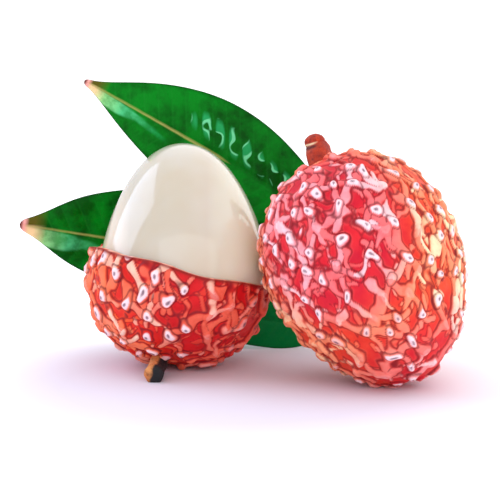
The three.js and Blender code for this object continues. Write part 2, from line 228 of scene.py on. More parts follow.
for fruit in (whole, peeled):
    seed = fruit["seed"]
    fruit["beads"] = places(fruit["bumps"], seed)
    fruit["starts"] = places(int(STREAK_STARTS * fruit["bumps"]), seed + 20)
    fruit["ridges"] = lines_between(fruit["beads"], seed, LINK_REACH, LINK_SHARE, RIDGE_WIDTH)
    fruit["streaks"] = lines_between(fruit["starts"], seed + 20, STREAK_REACH, STREAK_SHARE, STREAK_WIDTH)
    print(len(fruit["beads"]), "beads,", len(fruit["ridges"][0]), "ridges,",
          len(fruit["streaks"][0]), "streaks")

# %% Distances to the nearest bead and ridge
def nearest_line(q, spots, lines):
    """Distance from each point to the nearest line over that line's half width there, its number, and how
    much farther the next line is. The nearest point is the line's start plus a share of its length: the
    dot product with it over its square, held between 0 and 1. The distance's square is the gap's, less
    twice the share times that product, plus the share's square times the length's."""
    start, end, part, wide, left = lines
    begin = spots[start]
    along = (spots[end] - begin) * part[:, None]
    square = (along ** 2).sum(1)
    product = q @ along.T - (begin * along).sum(1)
    share = np.clip(product / square, 0, 1)
    far = (q ** 2).sum(1)[:, None] - 2 * q @ begin.T + (begin ** 2).sum(1)
    far = np.sqrt(np.clip(far - 2 * share * product + share ** 2 * square, 0, None))
    far = far / (wide * (1 - (1 - left) * share))
    first, second = np.partition(far, 1, axis=1)[:, :2].T
    return first, far.argmin(1), second - first


def nearest_of(fruit, d):
    """For each direction: distance in mm to the nearest bead and that bead's number, then distance,
    number and lead of the nearest ridge, and of the nearest streak. It goes 4,000 directions at a time to
    save memory."""
    scale = (2 * fruit["radius"] + fruit["stem"]) / 3
    spots, starts = wandered(fruit["beads"], scale), wandered(fruit["starts"], scale)
    out = []
    for q in np.array_split(wandered(d, scale), max(1, len(d) // 4000)):
        to_bead = np.sqrt(((q[:, None] - spots[None]) ** 2).sum(-1))
        out.append((to_bead.min(1), to_bead.argmin(1), *nearest_line(q, spots, fruit["ridges"]),
                    *nearest_line(q, starts, fruit["streaks"])))
    return [np.concatenate(part) for part in zip(*out)]


def step_down(x, full, none):
    """1 where x is below full, 0 above none, and a smooth slope between."""
    t = np.clip((none - x) / (none - full), 0, 1)
    return t * t * (3 - 2 * t)


def hump(t, middle, width):
    """A bell: 1 at the middle, falling to a third at one width from it."""
    return np.exp(-(((t - middle) / width) ** 2))


stem_end = np.array([[0.0, 0.0, 1.0]])
print("from the stem end to the nearest bead:", nearest_of(whole, stem_end)[0].round(2), "mm")

# %% [markdown]
# Height and colour come from the same distances, so each colour ends where its form does. A texture laid
# over the bumps afterwards would drift off them.

# %% Relief and its marks
def facing(d, fruit, directions):
    """How far each direction d turns to the nearest of some directions: the largest cosine."""
    return (d @ axes_of(fruit) @ np.atleast_2d(directions).T).max(1)


def relief_of(fruit, d):
    """Height of the rind over the body in mm, and the marks for its colours. Height is a dome on each
    bead, plus a flat-topped bell across each ridge and a lower one across each streak, plus a broad swell
    round the bead, less a small pit in its tip and a seam where two ridges are equally near. Each mark is
    1 on its own part: on ridges, flanks and feet, on streaks, and on beads, their rims and their dots."""
    bead, which, ridge, band, lead, streak, thread, thread_lead = nearest_of(fruit, d)
    tip = bead / fruit["bead"]
    flat = np.exp(-(ridge ** 4))
    seam = hump(lead, 0, SEAM_LEAD) * step_down(ridge, 0.9, 1.1) * (1 - step_down(tip, 0.8, 1.1))
    height = (BEAD_HEIGHT * np.clip(1 - (bead / BEAD_RADIUS) ** 2, 0, None) + RIDGE_HEIGHT * flat
              + SWELL_HEIGHT * np.clip(1 - (bead / SWELL_RADIUS) ** 2, 0, None)
              + STREAK_HEIGHT * np.exp(-(streak ** 4)) * (1 - flat)
              - PIT_DEPTH * hump(bead, 0, PIT_RADIUS) - SEAM_DEPTH * seam)
    beside = 1 - step_down(ridge, 1.05, 1.3)
    thin_seam = hump(thread_lead, 0, 0.3) * step_down(streak, 1, 1.2)
    thin_foot = 0.8 * beside * np.maximum(hump(streak, 1.25, 0.25), thin_seam)
    foot = np.maximum(hump(ridge, 1.16, 0.21), seam)
    own = draw(which, fruit["seed"] + 11)
    white = 0.2 + 0.8 * (own > 0.4)
    # The feet, the seams and the beads' rims carry dark red painted shade.
    marks = {"ridge": step_down(ridge, 0.78, 1.0), "flank": step_down(ridge, 1.0, 1.9),
             "streak": step_down(streak, 0.7, 1.05) * beside, "foot": np.maximum(foot, thin_foot),
             "bead": step_down(tip, 0.55, 0.76) * white, "dot": step_down(tip, 0.14, 0.38) * white,
             "rim": hump(tip, 0.96, 0.16) * (0.3 + 0.7 * (own > 0.3)),
             "tone": draw(band, fruit["seed"] + 12), "shade": draw(thread, fruit["seed"] + 13),
             # The last two marks name the side of the rind's tint, which is partly painted light, and the
             # lit side, which is painted paler as painted light.
             "sun_tint_and_painted_light": 1 - step_down(facing(d, fruit, fruit["sun"]), 0.4, 0.85),
             "painted_light_side": 1 - step_down(facing(d, fruit, fruit["painted_light_side"]), 0.2, 0.9)}
    return height, marks


print("relief at the stem end:", relief_of(whole, stem_end)[0].round(2), "mm")

# %% [markdown]
# ## The whole lychee
# A globe made of latitude rings crowds its points at the poles. A cube blown up to a ball spreads them
# evenly, so six square grids are projected onto the ball and welded along their edges. With 125 cells
# along each edge a cell is about 0.2 mm, a tenth of a bead.

# %% Directions on a ball
def ball_directions(cells):
    """Unit directions on six square grids: the tangent of even angles gives a place on each face of a
    cube, and its length is brought to one. Also the faces' corner numbers, with each face outwards."""
    t = np.tan(np.linspace(-np.pi / 4, np.pi / 4, cells + 1))
    a, b = np.meshgrid(t, t, indexing="xy")
    one = np.ones_like(a)
    sides = [(one, a, b), (-one, -a, b), (-a, one, b), (a, -one, b), (-b, a, one), (b, a, -one)]
    d = np.stack([np.stack(s, -1) for s in sides]).reshape(-1, 3)
    n = (cells + 1) ** 2
    quads = np.concatenate([quads_of(cells + 1, cells + 1, start=k * n) for k in range(6)])
    return d / np.linalg.norm(d, axis=1, keepdims=True), quads


def flat_on_ground(points):
    """Points below the ground are lifted onto it: each z is at least 0."""
    points[..., 2] = np.maximum(points[..., 2], 0.0)
    return points


directions, cells = ball_directions(125)
height, marks = relief_of(whole, directions)
skin = body_points(whole, directions) + body_normals(whole, directions) * height[:, None]
whole_rind = make_piece("whole_lychee_rind", flat_on_ground(placed(whole, skin)), cells, marks)
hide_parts("whole_lychee")
print("relief from", round(height.min(), 2), "to", round(height.max(), 2), "mm")

# %% [markdown]
# ## The cup of skin
# The second fruit keeps the lower half of its skin, torn along a wavy line. Its surface starts at the
# stem end, runs up the bumpy outside to the tear, over the torn edge, and down the smooth inside to the
# stem end again. The tear is where the body meets a tilted plane with small waves, found for each
# meridian by halving the angle's range until it fits.

# %% Where the skin is torn
RIM_TILT, RIM_TURN, RIM_WAVE, RIM_DROP = 13.5, 21.4, 0.45, 0.8
rim = dict(centre=peeled["centre"], tilt=RIM_TILT, turn=RIM_TURN)


def above_tear(points):
    """Height in mm of a point over the torn line's plane and its waves: three long and seven short ones
    round the rim, full at the skin and fading inwards."""
    own = (points - np.array(rim["centre"])) @ axes_of(rim).T
    turn = np.arctan2(own[..., 1], own[..., 0])
    reach = np.clip(np.hypot(own[..., 0], own[..., 1]) / (0.7 * peeled["radius"]), 0, 1)
    wave = 0.6 * np.sin(3 * turn + 2.7) + 0.4 * np.sin(7 * turn + 4.2)
    return own[..., 2] + RIM_DROP - RIM_WAVE * reach * wave


def meridian(turn, angle):
    """Unit direction at that turn round the stem and that angle from it."""
    return np.stack([np.sin(angle) * np.cos(turn), np.sin(angle) * np.sin(turn), np.cos(angle)], -1)


COLUMNS = 420
around = np.arange(COLUMNS) * 2 * np.pi / COLUMNS
near, far = np.full(COLUMNS, 0.3), np.full(COLUMNS, 2.9)
for _ in range(40):
    middle = (near + far) / 2
    over = above_tear(placed(peeled, body_points(peeled, meridian(around, middle)))) > 0
    near, far = np.where(over, near, middle), np.where(over, middle, far)
torn_at = (near + far) / 2
print("the tear is", np.round(np.degrees([torn_at.min(), torn_at.max()])), "degrees from the stem")

# %% Cup of skin
def inner_wall(points):
    """Points moved straight towards the middle of the flesh until they meet its surface: the direction
    from that middle, with each part over its half axis, is the one that the flesh's formula takes."""
    own = (points - np.array(flesh["centre"])) @ axes_of(flesh).T
    length = np.where(own[..., 2] > 0, flesh["stem"], flesh["tip"])
    d = own / np.stack([np.full_like(length, flesh["radius"])] * 2 + [length], -1)
    d /= np.linalg.norm(d, axis=-1, keepdims=True)
    return placed(flesh, body_points(flesh, d, 0.05))


ROWS_OUT, ROWS_EDGE, ROWS_IN = ((170, 5, 36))
EDGE_BULGE, EDGE_SPAN = 0.12, 0.014
share = np.concatenate([np.linspace(0, 1, ROWS_OUT), np.ones(ROWS_EDGE), np.linspace(1, 0, ROWS_IN)])
through = np.concatenate([np.zeros(ROWS_OUT), np.linspace(0, 1, ROWS_EDGE + 2)[1:-1], np.ones(ROWS_IN)])
turn_grid = np.broadcast_to(around, (len(share), COLUMNS))
angle_grid = share[:, None] * torn_at[None]
d = meridian(turn_grid, angle_grid).reshape(-1, 3)
height, marks = relief_of(peeled, d)
outside = placed(peeled, body_points(peeled, d) + body_normals(peeled, d) * height[:, None])
inside = inner_wall(outside)
mix = np.repeat(through, COLUMNS)[:, None]
bulge = EDGE_BULGE * np.sin(np.pi * mix) * axes_of(rim)[2]
cup_points = flat_on_ground(outside * (1 - mix) + inside * mix + bulge)
marks["lining"] = 1 - step_down(mix[:, 0], 0.1, 0.75)
# The edge mark lays a dark line of painted shade along the outside of the torn edge.
marks["edge"] = np.repeat(hump(share, 1, EDGE_SPAN) * (through < 0.3), COLUMNS)
# The rows run up the outside from the stem end, so corners are taken backwards to make faces look outwards.
cup_cells = quads_of(len(share), COLUMNS, wrap=True)[:, ::-1]
cup = make_piece("peeled_lychee_rind_cup", cup_points, cup_cells, marks)
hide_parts("peeled_lychee_skin")
thickness = np.linalg.norm(outside - inside, axis=1)
print("skin between", round(thickness.min(), 2), "and", round(thickness.max(), 2), "mm thick")

# %% [markdown]
# ## The flesh
# The aril is wet, smooth and translucent, almost a plain egg. A ball of even cells takes the flesh's own
# formula, with two very long, very low waves, so that reflections run over it as over something grown.

# %% Flesh
directions, cells = ball_directions(56)
wave = 0.10 * np.sin(3 * directions[:, 0] + 2 * directions[:, 2] + 1) * np.sin(2 * directions[:, 1] + 2)
egg = body_points(flesh, directions) + body_normals(flesh, directions) * wave[:, None]
aril = make_piece("peeled_lychee_aril", placed(flesh, egg), cells)
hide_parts("peeled_lychee_flesh")

# %% [markdown]
# ## Stalks
# A stalk is a tube along a smooth curve through a few points, with a radius that changes along the way.
# The curve is a Catmull-Rom spline: between two points it bends towards their neighbours. A ring of
# points is carried along it, square to its direction, and the ends close in to a point.

# %% Curves and tubes
def smooth_path(points, count):
    """Even steps along a centripetal Catmull-Rom spline: each span blends straight lines between its four
    nearest points, with knots as far apart as the root of the distance. Steps are even in length."""
    p = np.asarray(points, float)
    p = np.concatenate([[2 * p[0] - p[1]], p, [2 * p[-1] - p[-2]]])
    knot = np.concatenate([[0], np.cumsum(np.sqrt(np.linalg.norm(np.diff(p, axis=0), axis=1)))])
    t = np.linspace(knot[1], knot[-2], 1200)
    i = np.clip(np.searchsorted(knot, t, side="right") - 1, 1, len(p) - 3)

    def between(a, b, from_knot, to_knot):
        s = ((t - from_knot) / (to_knot - from_knot))[:, None]
        return a * (1 - s) + b * s

    k0, k1, k2, k3 = (knot[i + n] for n in (-1, 0, 1, 2))
    a1, a2, a3 = (between(p[i + n], p[i + n + 1], knot[i + n], knot[i + n + 1]) for n in (-1, 0, 1))
    b1, b2 = between(a1, a2, k0, k2), between(a2, a3, k1, k3)
    line = between(b1, b2, k1, k2)
    run = np.concatenate([[0], np.cumsum(np.linalg.norm(np.diff(line, axis=0), axis=1))])
    even = np.linspace(0, run[-1], count)
    return np.stack([np.interp(even, run, line[:, n]) for n in range(3)], -1)


def carried_rings(path):
    """Two directions square to the path at each step. The first is the one at the step before, less its
    part along the path. The second is the cross product of the path's direction and the first."""
    forward = np.gradient(path, axis=0)
    forward /= np.linalg.norm(forward, axis=1, keepdims=True)
    side = np.zeros_like(path)
    last = np.array([0.31, 0.17, 0.93])
    for n, f in enumerate(forward):
        last = last - f * (last @ f)
        last /= np.linalg.norm(last)
        side[n] = last
    return side, np.cross(forward, side)


def tube_points(path, radius, turn):
    """Rings round a path: the path's point, plus the radius times the cosine and sine of the turn along
    the two square directions. Its first and last ring shrink to the path, which closes the ends."""
    side, other = carried_rings(path)
    radius = radius.copy()
    radius[0] = radius[-1] = 0
    path = path.copy()
    path[0], path[-1] = path[1], path[-2]
    ring = np.cos(turn)[None, :, None] * side[:, None] + np.sin(turn)[None, :, None] * other[:, None]
    return path[:, None] + radius[..., None] * ring


bend = smooth_path([(0, 0, 0), (1, 0, 0), (1, 1, 0)], 5)
print("steps round a bend:", np.linalg.norm(np.diff(bend, axis=0), axis=1).round(2))

# %% [markdown]
# The bunch's stalk leaves the stem end of the whole fruit over a swollen knob, where the next twig broke
# off, and goes down behind the fruit to the ground. Its bark has fine ridges along it and low corky rings
# across it, which the radius carries: a sum of waves round the stalk, plus a bell at each ring.

# %% Bark and stalks
END, SIDES = 0.7, 40


def bark(length, turn, seed):
    """Roughness of the radius in mm: waves round the stalk that drift along it, and low corky rings."""
    along = length[:, None]
    furrow = np.sin(5 * turn[None] + 0.35 * along + seed) + 0.6 * np.sin(9 * turn[None] - 0.5 * along)
    rings = np.exp(-((np.mod(along + 0.4 * np.sin(turn + seed)[None], 2.7) - 1.3) / 0.22) ** 2)
    return 0.045 * furrow + 0.06 * rings


def on_axis(fruit, part):
    """A point on the fruit's axis, that part of the way from its middle to its stem end."""
    return placed(fruit, part * body_points(fruit, np.array([[0.0, 0.0, 1.0]])))[0]


def stalk_piece(name, node, path, radius, seed, marks_of):
    """A stalk: a tube whose radius is that function of the share of the way, plus its bark, and which
    closes like a dome over END. marks_of gives the marks from its points, and from how far each lies off
    the path, in radii."""
    run = np.linspace(0, 1, len(path))
    length = run * np.linalg.norm(np.diff(path, axis=0), axis=1).sum()
    turn = np.arange(SIDES) * 2 * np.pi / SIDES
    into_end = np.clip(length - length[-1] + END, 0, 1) / (END + 0.02)
    wide = radius(run) * np.sqrt(np.clip(1 - into_end ** 2, 0.1, 1))
    points = tube_points(path, wide[:, None] + bark(length, turn, seed), turn)
    marks = marks_of(points, (points - path[:, None]) / radius(run)[:, None, None])
    piece = make_piece(name, flat_on_ground(points.reshape(-1, 3)),
                       quads_of(len(path), SIDES, wrap=True), marks)
    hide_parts(node)
    return piece


roughness = bark(np.linspace(0, 30, 300), np.linspace(0, 6, 60), 1.0)
print("bark stands out by up to", roughness.max().round(2), "mm")

# %% The bunch's stalk
STALK_RADIUS, KNOB_RADIUS = 1.15, 1.9
STALK = [(10.8, 6.6, 34.4), (11.7, 9.5, 33.5), (14.8, 15.4, 29.3), (19.0, 20.2, 22.0),
         (18.6, 23.4, 12.5), (20.2, 26.4, 4.2), (24.2, 29.4, 0.75)]
TWIG = [STALK[0], (10.3, 6.65, 35.6), (9.9, 6.7, 37.0)]
RING = (10.3, 6.65, 35.7)


def broken_twig(points, _):
    """Marks on the -X side of the broken twig, by the height over its ring of bare wood: the ring, a dark
    scar under it and rubbed bark under that. They stop 3 mm from the ring."""
    from_ring = points - np.array(RING)
    way = np.array(TWIG[-1]) - np.array(TWIG[0])
    height = from_ring @ (way / np.linalg.norm(way))
    near = step_down(np.linalg.norm(from_ring, axis=-1), 2.2, 3.2)
    near = near * step_down(from_ring[..., 0], -0.5, 0.9)
    return {"pale": hump(height, 0, 0.17) * near, "scar": hump(height, -0.5, 0.26) * near,
            "bare": hump(height, -1.35, 0.6) * near}


def stalk_radius(t):
    """The stalk's radius, with bells at the knob and at the ring of an old leaf farther down."""
    knob = (KNOB_RADIUS - STALK_RADIUS) * hump(t, 0.09, 0.07)
    return STALK_RADIUS + knob + 0.25 * hump(t, 0.6, 0.03)


def twig_radius(t):
    """The twig's radius: narrower towards its end, with a groove at the ring."""
    return KNOB_RADIUS * (0.95 - 0.2 * t - 0.1 * hump(t, 0.4, 0.06) - 0.2 * hump(t, 1, 0.2))


stalk = stalk_piece("bunch_stalk_bark", "bunch_stalk", smooth_path([on_axis(whole, 0.985), *STALK], 240),
                    stalk_radius, 1.0, broken_twig)
spur = stalk_piece("bunch_stalk_spur", "bunch_stalk", smooth_path(TWIG, 60),
                   twig_radius, 4.0, broken_twig)

# %% [markdown]
# The peeled lychee keeps only a short, dry stub. It leans out from under the cup down to the ground, and
# its right side and most of its end are painted near black, as painted shade.

# %% The peeled lychee's stub
STUB_RADIUS = 1.35
STUB = [on_axis(peeled, 0.94) + np.array([0, 0, 0.6]), (-14.5, -3.2, 1.5), (-14.8, -8.4, 1.25)]
# The side of the stub that is painted in shade.
SHADED_SIDE = (0.97, 0.0, -0.25)


def painted_shade_marks(points, off):
    """Painted shade, near black, where the stub's surface turns away from the light, more of it at the end,
    none near the fruit.
    """
    forwards = -points[..., 1]
    turned = off @ np.array(SHADED_SIDE) + 0.3 * (1 - step_down(forwards, 7.0, 8.4))
    return {"painted_shade": (1 - step_down(turned, -0.1, 0.15)) * (1 - step_down(forwards, -1.0, 2.5))}


stub = stalk_piece("peeled_lychee_stub", "peeled_lychee_stalk", smooth_path(STUB, 90),
                   lambda t: STUB_RADIUS * (1 + 0.12 * hump(t, 1, 0.2)), 2.0, painted_shade_marks)

# %% [markdown]
# ## Leaves
# A lychee leaf is leathery, long and pointed, with a pale midrib and fine side veins that part from it at
# about 55 degrees. Here one closed section runs along the whole leaf: nearly round in the short stalk,
# flat and wide in the blade, and narrow in the drawn-out tip. Between the side veins the blade quilts up
# a little, which breaks up its gloss, and lighter green painted highlights lie in the same gaps.

# %% Measures of the leaves
LEAVES = {
    "leaf_upper": dict(stem=(18.0, 21.4, 18.8), base=(14.6, 22.6, 19.7), middle=(-6, 23.6, 32.2),
                       tip=(-27.3, 20.5, 44.7), across=(0.42, 0.3, 0.85), half=8.5, lean=0.06, fold=0.22,
                       widest=0.5, taper=1.1, pinch=0.1, length=49, vein=2.7, ripple=0.35, waves=2.3,
                       tip_half=0.6, shine=1, lobe=1, shaded=0),
    "leaf_left": dict(stem=(17.6, 24.3, 10.6), base=(13.0, 26.4, 10.6), middle=(-12, 27.2, 15.6),
                      tip=(-38.5, 21.5, 20.7), across=(0.12, -0.1, 0.98), half=9.2, lean=0.1, fold=0.2,
                      widest=0.5, taper=0.65, pinch=0.45, length=52, vein=3.1, ripple=0.3, waves=2.6,
                      tip_half=0.75, shine=0.4, lobe=0.8, shaded=0),
    "leaf_low": dict(stem=(18.8, 25.0, 6.2), base=(14.6, 22.6, 3.4), middle=(0, 21.8, 4.7),
                     tip=(-20.5, 20.4, 8.6), across=(0.0, 0.45, 0.88), half=4.9, lean=0, fold=0.15,
                     widest=0.3, taper=0.9, pinch=0.1, length=36, vein=2.4, ripple=0.2, waves=1.7,
                     tip_half=0.6, shine=0.2, lobe=0, shaded=1),
}
print("leaves:", *LEAVES)

# %% Leaf course and outline
ROWS_LEAF, ROUND = ((420, 160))
PETIOLE_RADIUS = 0.85


def leaf_course(leaf):
    """The leaf's middle line: the short stalk's curve, then the blade's from where the two are nearest,
    in even steps. Gives its points, the place of each along the blade (0 at its base, 1 at its tip), and
    the stalk's radius there, which shrinks by a third up to 3 mm into the blade."""
    base, middle, tip = (np.array(leaf[k], float) for k in ("base", "middle", "tip"))
    petiole = smooth_path([leaf["stem"], base, base * 0.88 + middle * 0.12], 60)
    blade = smooth_path([base, middle, tip], 400)
    start = np.argmin(np.linalg.norm(blade - petiole[-1], axis=1))
    run = np.concatenate([petiole[:-1], blade[start:]])
    step = np.concatenate([[0], np.cumsum(np.linalg.norm(np.diff(run, axis=0), axis=1))])
    even = np.linspace(0, step[-1], ROWS_LEAF)
    path = np.stack([np.interp(even, step, run[:, n]) for n in range(3)], -1)
    lead = step[len(petiole) - 1] - np.linalg.norm(np.diff(blade[:start + 1], axis=0), axis=1).sum()
    radius = PETIOLE_RADIUS * (1 - 0.35 * np.clip(even / (lead + 3), 0, 1))
    return path, np.clip((even - lead) / (step[-1] - lead), 0, 1)[:, None], radius[:, None]


def blade_width(u, leaf):
    """Half width as a share of the widest: a power of a sine from the base up to the widest place, then a
    power of a cosine down to the tip, drawn in round the tip by a bell."""
    widest = leaf["widest"]
    rising = np.sin(np.pi / 2 * np.clip(u / widest, 0, 1)) ** 0.65
    falling = np.cos(np.pi / 2 * np.clip((u - widest) / (1 - widest), 0, 1)) ** leaf["taper"]
    return np.where(u < widest, rising, falling * (1 - leaf["pinch"] * hump(u, 1, 0.11)))


def gloss_marks(leaf, u, x, phase, between):
    """Where painted highlights of the waxy gloss go: in a band above the midrib, brightest between side
    veins, with a draw for each gap (shine), and in a long lobe just below the midrib towards the tip
    (lobe)."""
    shine = hump(x, 0.4 - 0.45 * (0.55 - u), 0.19) * step_down(np.abs(u - 0.39), 0.18, 0.27) * (1.35 - u)
    shine = shine * (0.55 + 0.45 * draw(np.floor(phase), 5)) * np.clip(1.6 - 3.6 * np.abs(between), 0, 1)
    upper, lower = 0.06 + 1.2 * np.clip(0.86 - u, 0, 1), 0.34 + 5.0 * np.clip(u - 0.79, 0, 1)
    lobe = (1 - step_down(-x, upper - 0.03, upper + 0.05)) * step_down(-x, lower - 0.03, lower + 0.09)
    return {"shine": shine * leaf["shine"], "lobe": lobe * (1 - step_down(u, 0.64, 0.72)) * leaf["lobe"]}


for name, leaf in LEAVES.items():
    steps = np.linalg.norm(np.diff(leaf_course(leaf)[0], axis=0), axis=1)
    print(name, "is", steps.sum().round(1), "mm long with its stalk")

# %% [markdown]
# The section is worked out for all steps of a leaf at once: rows are the steps along it, and columns go
# round it. Blade and stalk are one closed skin, so there is no joint to hide between them.

# %% Leaf surface
BLADE_THICKNESS, MARGIN_THICKNESS = 0.22, 0.02
RIB_DEPTH, GROOVE_DEPTH, QUILT_HEIGHT = 0.5, 0.18, 0.12
VEIN_SLANT = 0.62


def leaf_piece(name, node, leaf):
    """A leaf: at each step the section is an ellipse from edge to edge, x by the cosine and thickness by
    the sine of its turn. x is scaled by the half width, and the section is lifted by the fold of the two
    halves, the waves of the margin and the quilting between the veins."""
    path, u, stalk_part = leaf_course(leaf)
    forward = np.gradient(path, axis=0)
    forward /= np.linalg.norm(forward, axis=1, keepdims=True)
    side = np.array(leaf["across"]) - forward * (forward @ np.array(leaf["across"]))[:, None]
    side /= np.linalg.norm(side, axis=1, keepdims=True)
    up = np.cross(side, forward)
    turn = np.arange(ROUND) * 2 * np.pi / ROUND
    x = np.sin(np.pi / 2 * np.sin(turn - np.pi / 2))[None] * np.ones((ROWS_LEAF, 1))
    above = (np.arange(ROUND) < ROUND / 2)[None]
    half = leaf["half"] * blade_width(u, leaf)
    blade = 1 - step_down(half / 3.0, 0.35, 1.1) * (u < 0.5)
    closing = np.sqrt(np.clip(1 - (np.clip(u - 0.982, 0, 1) / 0.018) ** 2, 0, 1))
    width = np.hypot(half * (1 + np.sign(x) * leaf["lean"]), leaf["tip_half"])
    away = x * np.where(u < 0.5, np.maximum(width, stalk_part), width) * closing
    thick = np.sqrt(np.clip(1 - x ** 2, 0, 1)) * stalk_part * (1 - blade)
    thick = thick + blade * (BLADE_THICKNESS * np.clip(1 - x ** 8, 0, 1) + MARGIN_THICKNESS)
    rib = RIB_DEPTH * hump(away, 0, 0.55) * (1 - 0.7 * u) * blade
    groove = GROOVE_DEPTH * hump(away, 0, 0.35) * blade
    phase = (u * leaf["length"] - VEIN_SLANT * np.abs(away)) / leaf["vein"]
    phase = phase + 0.12 * np.sin(7 * u + 3 * np.sign(x))
    between = np.mod(phase, 1) - 0.5
    quilt = QUILT_HEIGHT * np.cos(np.pi * between) * np.clip(1 - np.abs(x) ** 3, 0, 1) * blade
    ripple = leaf["ripple"] * x ** 2 * np.sin(leaf["waves"] * 2 * np.pi * u + 2 * np.sign(x)) * blade
    fold = leaf["fold"] * half * (np.abs(x) - 0.45 * x * x)
    lift = fold + ripple + quilt + np.where(above, thick - groove, -(thick + rib)) * closing
    points = path[:, None] + away[..., None] * side[:, None] + lift[..., None] * up[:, None]
    points[0], points[-1] = path[0], path[-1]
    one = np.ones_like(x)
    midrib = hump(away, 0.05, 0.3) * (1 - u) ** 0.25 * (1 - step_down(u, 0.38, 0.5))
    vein = np.clip((np.abs(between) - 0.43) / 0.07, 0, 1) * (1 - np.abs(x)) ** 0.5 * blade
    marks = {"across": x, "along": u * one, "vein": vein, "margin": np.abs(x) ** 14,
             "midrib": midrib * (1 - leaf["shaded"]), "stalk": (1 - blade) * one, "upper": above * one,
             "shaded": leaf["shaded"] * one, **gloss_marks(leaf, u, x, phase, between)}
    piece = make_piece(name, flat_on_ground(points.reshape(-1, 3)),
                       quads_of(ROWS_LEAF, ROUND, wrap=True), marks)
    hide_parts(node)
    return piece


leaves = [leaf_piece(name + "_blade", name, leaf) for name, leaf in LEAVES.items()]

# %% [markdown]
# ## Colours and nodes
# Colours are given as sRGB hex values. Blender computes with light, so each value is first turned
# to linear by the standard curve. One small function adds a node with its settings and inputs. On top of
# it, a material is a list of layers, as a painter would lay them: what each one follows, how far, and in
# which colour. What they follow are marks that the mesh keeps at its points, and noise.

# %% Colour and node helpers
def linear(hexa):
    """sRGB hex to linear light: below 0.04045 a twelfth, and above it the power of 2.4."""
    c = np.array([int(hexa[k:k + 2], 16) for k in (0, 2, 4)]) / 255
    return (*np.where(c <= 0.04045, c / 12.92, ((c + 0.055) / 1.055) ** 2.4), 1.0)


def fill(tree, node, inputs):
    """Fills inputs of a node, each with a value, a hex colour made linear, or a link from an output."""
    for key, value in inputs.items():
        if isinstance(value, bpy.types.NodeSocket):
            tree.links.new(value, node.inputs[key])
        else:
            node.inputs[key].default_value = linear(value) if isinstance(value, str) else value
    return node


def add(tree, kind, settings=(), inputs=()):
    """Adds one node of that kind, with its own settings and its inputs filled."""
    made = tree.nodes.new("ShaderNode" + kind)
    for key, value in dict(settings).items():
        setattr(made, key, value)
    return fill(tree, made, dict(inputs))


def fresh_material(name):
    """An empty material with a Principled shader and its output."""
    material = bpy.data.materials.new(name)
    material.use_nodes = True
    material.node_tree.nodes.clear()
    shader = add(material.node_tree, "BsdfPrincipled")
    add(material.node_tree, "OutputMaterial", inputs={"Surface": shader.outputs[0]})
    return material, material.node_tree, shader


def reading(tree, by):
    """What a layer follows: an output, the mark of that name on the mesh, or the product of two."""
    if isinstance(by, str):
        return add(tree, "Attribute", {"attribute_name": by}).outputs["Fac"]
    if isinstance(by, tuple):
        first, second = (reading(tree, part) for part in by)
        return add(tree, "Math", {"operation": "MULTIPLY"}, {0: first, 1: second}).outputs[0]
    return by


def strength(tree, by, low, high, least=0.0, most=1.0):
    """What it follows, moved from the range low to high to the range least to most, and held there."""
    value = reading(tree, by)
    return add(tree, "MapRange", inputs={0: value, 1: low, 2: high, 3: least, 4: most}).outputs[0]


def layered(tree, colour, *layers):
    """Colours laid over a first one in turn. Each layer is what it follows, the two values of that
    between which it comes in, how far it covers at most, and its colour."""
    for by, low, high, cover, paint in layers:
        colour = add(tree, "Mix", {"data_type": "RGBA"},
                     {0: strength(tree, by, low, high, 0.0, cover), 6: colour, 7: paint}).outputs[2]
    return colour


def speckle(tree, size_mm, detail=2.0, roughness=0.5):
    """Noise in the object's own coordinates, with patches of about that size."""
    place = add(tree, "TexCoord").outputs["Object"]
    return add(tree, "TexNoise", inputs={"Vector": place, "Scale": 1 / (size_mm * MM), "Detail": detail,
                                         "Roughness": roughness}).outputs[0]


print("linear value of mid grey:", np.round(linear("808080")[0], 3))
